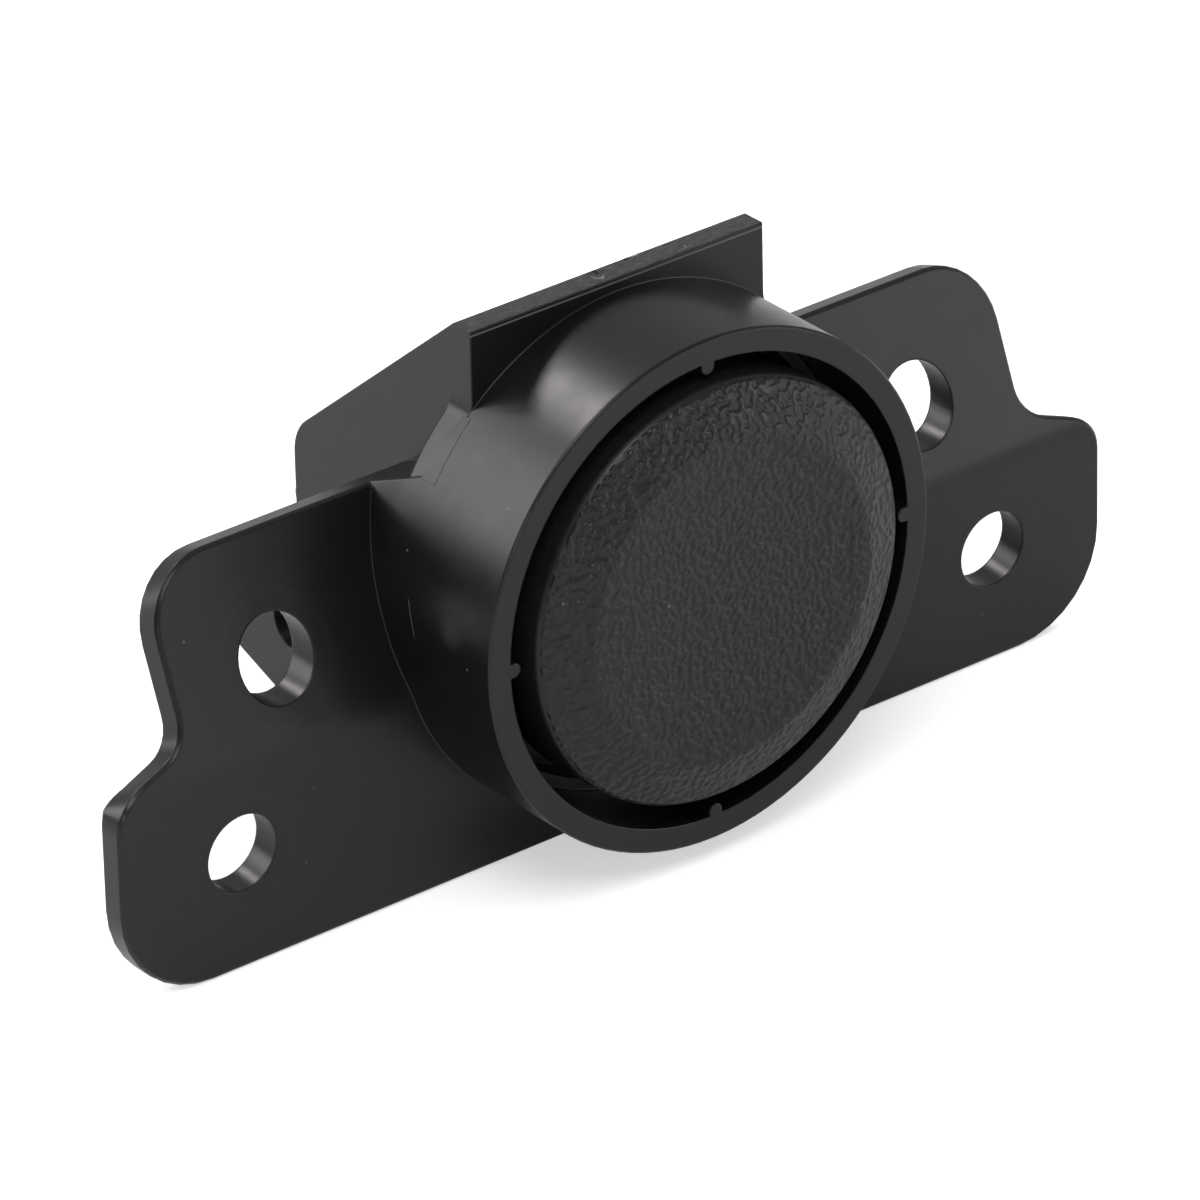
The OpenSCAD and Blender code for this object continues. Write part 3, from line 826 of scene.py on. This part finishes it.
def crumb_tree() -> Growth:
    """Tree that strews small broken crumbs over a patch.

    Returns:
        The tree with the inputs Density, Size, Seed and Material.
    """
    growth = Growth("crumbs")
    growth.size("Density")
    growth.size("Size")
    growth.size("Seed", "NodeSocketInt")
    growth.size("Material", "NodeSocketMaterial")
    source = growth.begin()
    points = growth.node(
        "GeometryNodeDistributePointsOnFaces",
        inputs={
            "Mesh": source.outputs["Geometry"],
            "Density": source.outputs["Density"],
            "Seed": source.outputs["Seed"],
        },
    )
    grain = growth.node("GeometryNodeMeshIcoSphere", inputs={"Radius": 1.0, "Subdivisions": 1})
    turn = growth.node(
        "FunctionNodeRandomValue", {"data_type": "FLOAT_VECTOR"},
        {"Min": (0.0, 0.0, 0.0), "Max": (6.0, 6.0, 6.0), "Seed": source.outputs["Seed"]},
    )
    scale = growth.node(
        "FunctionNodeRandomValue", {"data_type": "FLOAT_VECTOR"},
        {"Min": (0.4, 0.4, 0.25), "Max": (1.4, 1.1, 0.7), "Seed": source.outputs["Seed"]},
    )
    sized = growth.node(
        "ShaderNodeVectorMath", {"operation": "SCALE"},
        {0: scale.outputs[0], "Scale": source.outputs["Size"]},
    )
    placed = growth.node(
        "GeometryNodeInstanceOnPoints",
        inputs={
            "Points": points.outputs["Points"], "Instance": grain.outputs[0],
            "Rotation": turn.outputs[0], "Scale": sized.outputs[0],
        },
    )
    growth.finish(placed.outputs[0])
    return growth


@dataclass
class Kit:
    """What every sub-assembly needs: the solids and the finished materials."""

    nodes: dict[str, bpy.types.Object]
    paints: dict[str, bpy.types.Material]

    def place(self, made: bpy.types.Object, body: Body, slot: Slot, *stands_for: str) -> None:
        """Fixes a piece to its body and hides the solids that it stands for.

        Args:
            made: The finished piece.
            body: Body that it rides on.
            slot: Finish slot of the piece; not used.
            stands_for: Solids that it replaces.
        """
        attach(made, body.value)
        if stands_for:
            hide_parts(*stands_for)
        LOG.info("%s: %d faces, rides on %s", made.name, len(made.data.polygons), body.value)


@dataclass
class Housing:
    """The black moulding with its cut strip, the crumbs on it and the drum's rear edge.

    Lengths are in millimetres and angles in degrees.

    Attributes:
        wall_top: Height of the wall's top, on which the strip lies.
        swell: How far the strip stands out between its edges.
        end_fade: Width over which it runs out at its ends.
        side_fade: Width over which it runs out at its front and back.
        ripples: Fine relief of the strip: height, waves across, waves to the back, winding.
        winding: How fast a ripple winds to the back.
        gouge: Place across, place to the back and reach of the gouge.
        gouge_stretch: How much wider than deep to the back it is.
        gouge_depth: Its depth.
        gouge_ring: Height of the lump round it, and its place and width in reaches.
        torn: Height, place across and width of the torn ridge.
        torn_low: Place to the back up to which the ridge is low, and its share there.
        crumb_patches: Left, right, front and back of each patch of crumbs.
        collar_top: Angle at which the collar ends over the drum.
        corner: Centre of the collar's corner, to the back and along the drum, and its radius.
        corner_turn: Angle of that corner.
    """

    kit: Kit
    wall_top: float
    strip_half: float = 13.2
    strip_front: float = 0.04
    strip_back: float = 1.95
    strip_lift: float = 0.012
    strip_skirt: float = 0.05
    strip_crisp: float = 60.0
    swell: float = 0.035
    end_fade: float = 0.2
    side_fade: float = 0.15
    cells_x: int = 220
    cells_y: int = 16
    ripples: tuple[tuple[float, float, float, float], ...] = (
        (0.012, 7.1, 0.0, 2.0),
        (0.010, 13.7, 5.0, 0.0),
        (0.008, 29.0, -11.0, 0.0),
    )
    winding: float = 3.3
    gouge: Point = (-1.15, 1.05, 0.45)
    gouge_stretch: float = 1.6
    gouge_depth: float = 0.03
    gouge_ring: Point = (0.11, 1.35, 0.4)
    torn: Point = (0.07, 2.2, 0.35)
    torn_low: Pair = (1.1, 0.25)
    crumb_patches: tuple[tuple[float, float, float, float], ...] = (
        (1.8, 3.6, 1.3, 1.9),
        (-1.6, -0.7, 0.3, 1.5),
        (6.3, 6.9, 0.3, 0.9),
    )
    crumb_density: float = 1.1e7
    crumb_size: float = 0.1
    crumb_seed: int = 7
    crumb_lift: float = 0.03
    drum_radius: float = 20.01
    band_radius: float = 19.7
    collar_edge: float = 0.45
    collar_top: float = 133.0
    collar_front: float = -0.4
    collar_crisp: float = 40.0
    collar_steps: int = 12
    corner: Point = (1.95, 50.41, 1.5)
    corner_turn: float = 65.7
    corner_steps: int = 10

    def build(self) -> None:
        """Builds the moulding, its cut strip, the crumbs and the drum's rear edge."""
        paints = self.kit.paints
        shell = moulded_copy("housing_moulding", self.kit.nodes["housing"], paints["satin"])
        self.kit.place(shell, Body.HOUSING, Slot.HOUSING, "housing")
        strip = to_object("cut_strip", self._strip(), [paints["cut"]])
        self.kit.place(strip, Body.HOUSING, Slot.HOUSING)
        self._crumbs()
        collar = to_object("drum_collar", self._collar(), [paints["collar"]])
        self.kit.place(collar, Body.HOUSING, Slot.HOUSING)

    def _collar(self) -> bpy.types.Mesh:
        """Rear edge of the drum over the band, rounded at the ledge, on both sides.

        Returns:
            Its mesh.
        """
        y0, s0, radius = self.corner
        top = math.radians(self.collar_top) * self.drum_radius
        steps = self.collar_steps
        rows = [(top + (s0 - top) * i / steps, self.collar_edge) for i in range(steps)]
        for i in range(self.corner_steps + 1):
            turn = math.radians(180.0 - self.corner_turn * i / self.corner_steps)
            rows.append((s0 + radius * math.sin(turn), y0 + radius * math.cos(turn)))
        shape = bmesh.new()
        for side in (1.0, -1.0):
            rings = []
            for run, rear in rows:
                across = side * math.cos(run / self.drum_radius)
                up = math.sin(run / self.drum_radius)
                section = (
                    (self.drum_radius, self.collar_front), (self.drum_radius, rear),
                    (self.band_radius, rear), (self.band_radius, self.collar_front),
                )
                rings.append([
                    shape.verts.new(Vector((r * across, y, r * up)) * MM) for r, y in section
                ])
            for one, two in zip(rings, rings[1:]):
                for k in range(4):
                    shape.faces.new((one[k], one[(k + 1) % 4], two[(k + 1) % 4], two[k]))
            shape.faces.new(rings[0])
            shape.faces.new(rings[-1])
        bmesh.ops.recalc_face_normals(shape, faces=shape.faces)
        sharpen(shape, self.collar_crisp)
        return to_mesh("drum_collar", shape)

    def _height(self, x: float, y: float) -> float:
        """Height of the torn strip over the wall's top.

        Args:
            x: Place across, in millimetres.
            y: Place to the back.

        Returns:
            Height in millimetres.
        """
        rough = sum(
            height * math.sin(waves_x * x + waves_y * y + bend * math.sin(self.winding * y))
            for height, waves_x, waves_y, bend in self.ripples
        )
        gx, gy, reach = self.gouge
        height, ring, width = self.gouge_ring
        near = math.hypot((x - gx) / self.gouge_stretch, y - gy) / reach
        lump = height * math.exp(-((near - ring) / width) ** 2)
        lump -= self.gouge_depth * math.exp(-near * near)
        height, place, width = self.torn
        torn = height * math.exp(-((x - place) / width) ** 2)
        if y <= self.torn_low[0]:
            torn *= self.torn_low[1]
        ends = (self.strip_half - abs(x)) / self.end_fade
        sides = min(y - self.strip_front, self.strip_back - y) / self.side_fade
        return self.strip_lift + (rough + lump + torn + self.swell) * max(min(1.0, ends, sides), 0.0)

    def _strip(self) -> bpy.types.Mesh:
        """Thin torn strip on top of the wall.

        Returns:
            Its mesh.
        """
        shape = bmesh.new()
        rows = []
        for j in range(self.cells_y + 1):
            y = self.strip_front + (self.strip_back - self.strip_front) * j / self.cells_y
            row = []
            for i in range(self.cells_x + 1):
                x = -self.strip_half + 2 * self.strip_half * i / self.cells_x
                z = self.wall_top + self._height(x, y)
                row.append(shape.verts.new(Vector((x, y, z)) * MM))
            rows.append(row)
        for j in range(self.cells_y):
            for i in range(self.cells_x):
                shape.faces.new((rows[j][i], rows[j][i + 1], rows[j + 1][i + 1], rows[j + 1][i]))
        rim = [edge for edge in shape.edges if edge.is_boundary]
        skirt = bmesh.ops.extrude_edge_only(shape, edges=rim)
        for item in skirt["geom"]:
            if isinstance(item, bmesh.types.BMVert):
                item.co.z = (self.wall_top - self.strip_skirt) * MM
        rim = [edge for edge in shape.edges if edge.is_boundary]
        bmesh.ops.holes_fill(shape, edges=rim, sides=0)
        bmesh.ops.recalc_face_normals(shape, faces=shape.faces)
        sharpen(shape, self.strip_crisp)
        return to_mesh("cut_strip", shape)

    def _crumbs(self) -> None:
        """Broken crumbs left on the strip."""
        shape = bmesh.new()
        for x0, x1, y0, y1 in self.crumb_patches:
            corners = ((x0, y0), (x1, y0), (x1, y1), (x0, y1))
            z = self.wall_top + self.crumb_lift
            shape.faces.new([shape.verts.new(Vector((x, y, z)) * MM) for x, y in corners])
        patch = to_object("strip_crumbs", to_mesh("strip_crumbs", shape))
        sizes = {
            "Density": self.crumb_density,
            "Size": self.crumb_size * MM,
            "Seed": self.crumb_seed,
            "Material": self.kit.paints["cut"],
        }
        self.kit.place(crumb_tree().grow(patch, sizes), Body.HOUSING, Slot.HOUSING)


@dataclass
class Button:
    """The grained cap and the inner moulding behind it."""

    kit: Kit

    def build(self) -> None:
        """Builds the cap, the plunger, its clip and its buffer."""
        nodes, paints = self.kit.nodes, self.kit.paints
        cap = moulded_copy("grained_cap", nodes["button_cap"], paints["grained"])
        self.kit.place(cap, Body.BUTTON, Slot.GRAINED, "button_cap")
        plunger = moulded_copy("plunger", nodes["button_plunger"], paints["inner"])
        self.kit.place(plunger, Body.BUTTON, Slot.INNER, "button_plunger")
        clip = moulded_copy("stem_clip", nodes["plunger_clip"], paints["spring"])
        self.kit.place(clip, Body.BUTTON, Slot.SPRING, "plunger_clip")
        ring = moulded_copy("stem_buffer", nodes["plunger_buffer"], paints["rubber"])
        self.kit.place(ring, Body.BUTTON, Slot.RUBBER, "plunger_buffer")


@dataclass
class Hook:
    """The hook lever with its pad and its pin."""

    kit: Kit

    def build(self) -> None:
        """Builds lever, pad and pin."""
        nodes, paints = self.kit.nodes, self.kit.paints
        lever = moulded_copy("lever", nodes["hook_lever"], paints["lever"])
        self.kit.place(lever, Body.HOOK, Slot.LEVER, "hook_lever")
        pad = moulded_copy("lever_pad", nodes["striker_pad"], paints["rubber"])
        self.kit.place(pad, Body.HOOK, Slot.RUBBER, "striker_pad")
        pin = moulded_copy("headed_pin", nodes["pivot_pin"], paints["pin"])
        self.kit.place(pin, Body.HOUSING, Slot.PIN, "pivot_pin")


@dataclass
class Springs:
    """The return spring of the button and the turning spring of the hook.

    Lengths are in millimetres, and a wire is given by its radius.

    Attributes:
        pivot: Place to the back and height of the hook's pin.
        pressed_share: Length of the return spring when the button is in; not used.
        arm: The end of the lever's arm as seen from the pivot.
        leg_share: Length of the spring's upper leg as a share of the arm.
        lower_end: Place to the back where the lower leg ends.
        leg_clear: Half the width across between two places at the pivot that are worked out but not
            used.
    """

    kit: Kit
    pivot: Pair
    coil_radius: float = 7.4
    coil_wire: float = 0.35
    coil_turns: float = 4.0
    coil_front: float = -7.4
    coil_back: float = -0.4
    coil_steps: int = 48
    pressed_share: float = 0.42
    twist_radius: float = 3.4
    twist_wire: float = 0.45
    twist_turns: int = 3
    twist_step: float = 0.96
    arm: Pair = (-9.0, 10.9)
    leg_share: float = 0.8
    lower_end: float = 3.3
    leg_clear: float = 1.2
    sides: int = 14

    def build(self) -> None:
        """Builds both springs: the return spring fixed to the housing, and the turning spring, left
        on no body.
        """
        tree = wire_tree()
        coil = self._wire(tree, "return_spring", self._coil(), self.coil_wire)
        self.kit.place(coil, Body.HOUSING, Slot.SPRING, "button_spring")
        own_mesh(coil)
        twist = self._wire(tree, "turning_spring", self._twist(), self.twist_wire)
        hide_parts("hook_spring")
        still, moved = (
            (x * MM, self.pivot[0] * MM, self.pivot[1] * MM)
            for x in (self.leg_clear, -self.leg_clear)
        )
        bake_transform(twist)
        LOG.info(
            "%s: %d faces, winds up between housing and hook", twist.name, len(twist.data.polygons)
        )

    def _coil(self) -> list[Point]:
        """Path of the return spring.

        Returns:
            Its points in millimetres.
        """
        steps = int(self.coil_steps * self.coil_turns)
        points = []
        for i in range(steps + 1):
            turn = 2 * math.pi * self.coil_turns * i / steps
            y = self.coil_back + (self.coil_front - self.coil_back) * i / steps
            across, up = self.coil_radius * math.cos(turn), self.coil_radius * math.sin(turn)
            points.append((across, y, BUTTON_RISE + up))
        return points

    def _twist(self) -> list[Point]:
        """Path of the turning spring: a leg up the arm, the turns, and a leg to the shelf.

        Returns:
            Its points in millimetres.
        """
        length = math.hypot(*self.arm)
        way = (self.arm[0] / length, self.arm[1] / length)
        start = math.atan2(way[1], way[0]) - math.pi / 2
        total = 2 * math.pi * self.twist_turns + start + math.pi / 2
        steps = self.coil_steps * self.twist_turns
        first = -self.twist_step * math.degrees(total) / 720

        def at(angle: float, x: float) -> Point:
            """Point of a turn at an angle."""
            return (
                x,
                self.pivot[0] + self.twist_radius * math.cos(angle),
                self.pivot[1] + self.twist_radius * math.sin(angle),
            )

        root = at(start, first)
        reach = length * self.leg_share
        upper = [
            (root[0], root[1] + reach * way[0] * k, root[2] + reach * way[1] * k)
            for k in (1.0, 0.5)
        ]
        turns = [
            at(start - total * i / steps, first * (1 - 2 * i / steps)) for i in range(steps + 1)
        ]
        x, y, z = at(-math.pi / 2, -first)
        return upper + turns + [(x, (y + self.lower_end) / 2, z), (x, self.lower_end, z)]

    def _wire(
        self, tree: Growth, name: str, points: Iterable[Point], radius: float
    ) -> bpy.types.Object:
        """One wire along a path.

        Args:
            tree: Tree that makes the wire.
            name: Name of the piece.
            points: Path in millimetres.
            radius: Radius of the wire.

        Returns:
            The wire as a plain mesh.
        """
        places = [Vector(p) * MM for p in points]
        mesh = bpy.data.meshes.new(name)
        mesh.from_pydata(places, [(i, i + 1) for i in range(len(places) - 1)], [])
        sizes = {"Radius": radius * MM, "Sides": self.sides, "Material": self.kit.paints["spring"]}
        return tree.grow(to_object(name, mesh), sizes)


@dataclass(frozen=True)
class Lamp:
    """One soft lamp of the studio: place and size in metres, power in watts."""

    name: str
    place: Point
    size: Pair
    power: float


@dataclass
class Studio:
    """Camera, lamps, pale floor and surroundings.

    Attributes:
        floor_z: Height of the floor in millimetres.
        azimuth: The camera's way round the object, in degrees, as its elevation and roll.
        focal: Focal length in pixels of the photo.
        distance: From the camera to the object's origin, in millimetres.
        shift: Where the origin stands in the photo, in pixels.
        frame: Width of the photo in pixels.
        floor_half: Half the floor's width in metres.
        floor_glow: Light that the camera sees from the floor.
        floor_mirror: Share of that light in reflections.
        room: Light of the surroundings on the object.
        behind_way: The way in which reflections of the surroundings get lighter.
        behind_span: Where along it they begin to get lighter, and where they end.
        behind_light: Their light at those two.
    """

    floor_z: float
    azimuth: float = -38.0572
    elevation: float = 28.3424
    roll: float = -1.3415
    focal: float = 10381.6
    distance: float = 740.8
    shift: Pair = (623.415, 541.587)
    frame: float = 1200.0
    floor_half: float = 1.5
    floor_glow: float = 0.5
    floor_mirror: float = 0.25
    room: float = 0.42
    behind_way: Point = (0.35, 0.8, 0.3)
    behind_span: Pair = (-0.35, 0.6)
    behind_light: Pair = (0.10, 0.55)
    lamps: tuple[Lamp, ...] = (
        Lamp("overhead", (-0.30, -0.45, 0.85), (0.5, 0.5), 5.0),
        Lamp("front_right", (0.53, -0.48, 0.10), (0.26, 0.3), 0.97),
        Lamp("front", (0.22, -0.66, 0.12), (0.3, 0.3), 0.35),
        Lamp("rear_left", (-0.53, 0.60, 0.36), (0.46, 0.5), 3.4),
        Lamp("rear_top", (-0.10, 0.62, 0.64), (0.19, 0.19), 2.1),
        Lamp("front_left", (-0.54, -0.55, 0.22), (0.12, 0.12), 0.75),
    )

    def build(self) -> None:
        """Builds the whole studio."""
        self._camera()
        self._floor()
        self._world()
        for lamp in self.lamps:
            self._lamp(lamp)

    def _camera(self) -> None:
        """Places the camera."""
        a, e, r = (math.radians(v) for v in (self.azimuth, self.elevation, self.roll))
        ahead = Vector((-math.sin(a) * math.cos(e), math.cos(a) * math.cos(e), -math.sin(e)))
        right = Vector((math.cos(a), math.sin(a), 0.0))
        up = right.cross(ahead)
        across = math.cos(r) * right + math.sin(r) * up
        upward = -math.sin(r) * right + math.cos(r) * up
        half = self.frame / 2
        place = (
            -ahead * self.distance
            - across * ((self.shift[0] - half) / self.focal * self.distance)
            + upward * ((self.shift[1] - half) / self.focal * self.distance)
        )
        data = bpy.data.cameras.new("camera")
        data.sensor_width = 36.0
        data.lens = self.focal / self.frame * data.sensor_width
        data.clip_start, data.clip_end = 0.05, 10.0
        camera = bpy.data.objects.new("camera", data)
        turned = [(across[i], upward[i], -ahead[i], place[i] * MM) for i in range(3)]
        camera.matrix_world = Matrix([*turned, (0.0, 0.0, 0.0, 1.0)])
        bpy.context.scene.collection.objects.link(camera)
        bpy.context.scene.camera = camera

    def _lamp(self, lamp: Lamp) -> None:
        """Hangs one soft lamp and turns it to the object.

        Args:
            lamp: The lamp's name, place, size and power.
        """
        data = bpy.data.lights.new(lamp.name, "AREA")
        data.shape = "RECTANGLE"
        data.size, data.size_y = lamp.size
        data.energy = lamp.power
        made = bpy.data.objects.new(lamp.name, data)
        made.location = lamp.place
        made.rotation_mode = "QUATERNION"
        made.rotation_quaternion = (-Vector(lamp.place)).to_track_quat("-Z", "Y")
        bpy.context.scene.collection.objects.link(made)

    def _floor(self) -> None:
        """Lays the pale floor."""
        shape = bmesh.new()
        half = self.floor_half
        corners = ((-half, -half), (half, -half), (half, half), (-half, half))
        shape.faces.new([shape.verts.new((x, y, self.floor_z * MM)) for x, y in corners])
        material = bpy.data.materials.new("pale_floor")
        material.use_nodes = True
        paint = Paint(material.node_tree)
        rays = paint.node("ShaderNodeLightPath")
        outs = rays.socket.node.outputs
        seen = Val(paint, outs["Is Camera Ray"]).most(Val(paint, outs["Is Transmission Ray"]))
        seen = seen.most(Val(paint, outs["Is Glossy Ray"]) * self.floor_mirror)
        matt = paint.node("ShaderNodeBsdfDiffuse", inputs={"Color": grey(0.8)})
        light = {"Color": grey(1.0), "Strength": seen * self.floor_glow}
        glow = paint.node("ShaderNodeEmission", inputs=light)
        both = paint.node("ShaderNodeAddShader", inputs={0: matt, 1: glow})
        paint.node("ShaderNodeOutputMaterial", inputs={"Surface": both})
        to_object("floor", to_mesh("floor", shape), [material])

    def _world(self) -> None:
        """White surroundings behind the object and a dim room on the camera's side."""
        world = bpy.data.worlds.new("studio")
        world.use_nodes = True
        bpy.context.scene.world = world
        paint = Paint(world.node_tree)
        rays = paint.node("ShaderNodeLightPath")
        outs = rays.socket.node.outputs
        seen = Val(paint, outs["Is Camera Ray"]).most(Val(paint, outs["Is Transmission Ray"]))
        glossy = Val(paint, outs["Is Glossy Ray"])
        way = paint.node("ShaderNodeTexCoord", output="Generated")
        x, y, z = paint.split(way)
        along = reduce(add, (part * share for part, share in zip((x, y, z), self.behind_way)))
        behind = along.ramp(*self.behind_span, *self.behind_light)
        level = seen.most(glossy * behind)
        room, white = (
            paint.node("ShaderNodeBackground", inputs={"Color": grey(1.0), "Strength": strength})
            for strength in (self.room, level)
        )
        both = paint.node("ShaderNodeMixShader", inputs={0: seen.most(glossy), 1: room, 2: white})
        paint.node("ShaderNodeOutputWorld", inputs={"Surface": both})


def finishes() -> dict[str, bpy.types.Material]:
    """All materials of the part.

    Returns:
        Materials by their short name.
    """
    made = {
        "satin": SatinPlastic(
            "satin_black", 0.0050, 0.31, 0.36, tint=BLACK_TINT, edge=0.22 * MM, marks=True
        ),
        "collar": SatinPlastic("collar_black", 0.0050, 0.31, 0.36, tint=BLACK_TINT, edge=0.03 * MM),
        "grained": GrainedPlastic("grained_black", 0.0075, 0.44, 0.34, edge=0.2 * MM),
        "inner": SatinPlastic("inner_black", 0.012, 0.44, 0.4, dust=0.3),
        "lever": SatinPlastic("lever_grey", 0.035, 0.42, 0.45, dust=0.4),
        "cut": CutPlastic("cut_grey", 0.045, 0.60, 0.35),
        "pin": TurnedMetal("pin_steel", 0.42, 0.28, metallic=1.0, shine=WHITE, wave=Wave.ALONG_X),
        "spring": TurnedMetal("spring_steel", 0.38, 0.30, metallic=1.0, shine=WHITE),
        "rubber": SoftRubber("black_rubber", 0.02, 0.75, 0.3),
    }
    return {key: finish.make() for key, finish in made.items()}


def main() -> None:
    """Builds the latch and its studio in order."""
    logging.basicConfig(level=logging.INFO, format="%(name)s: %(message)s")
    for item in list(bpy.data.objects):
        bpy.data.objects.remove(item)
    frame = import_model()
    bpy.context.scene.view_settings.view_transform = "Standard"
    bottom, wall_top = (round(corner[2] / MM, 4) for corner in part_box("housing"))
    turn = next(joint for joint in frame["joints"] if joint["name"] == "hook_turn")
    pivot = (turn["pos_m"][1] / MM, turn["pos_m"][2] / MM)
    kit = Kit(frame["nodes"], finishes())
    for part in (Housing(kit, wall_top), Button(kit), Hook(kit), Springs(kit, pivot)):
        part.build()
    Studio(bottom - FLOOR_GAP).build()


if __name__ == "__main__":
    main()
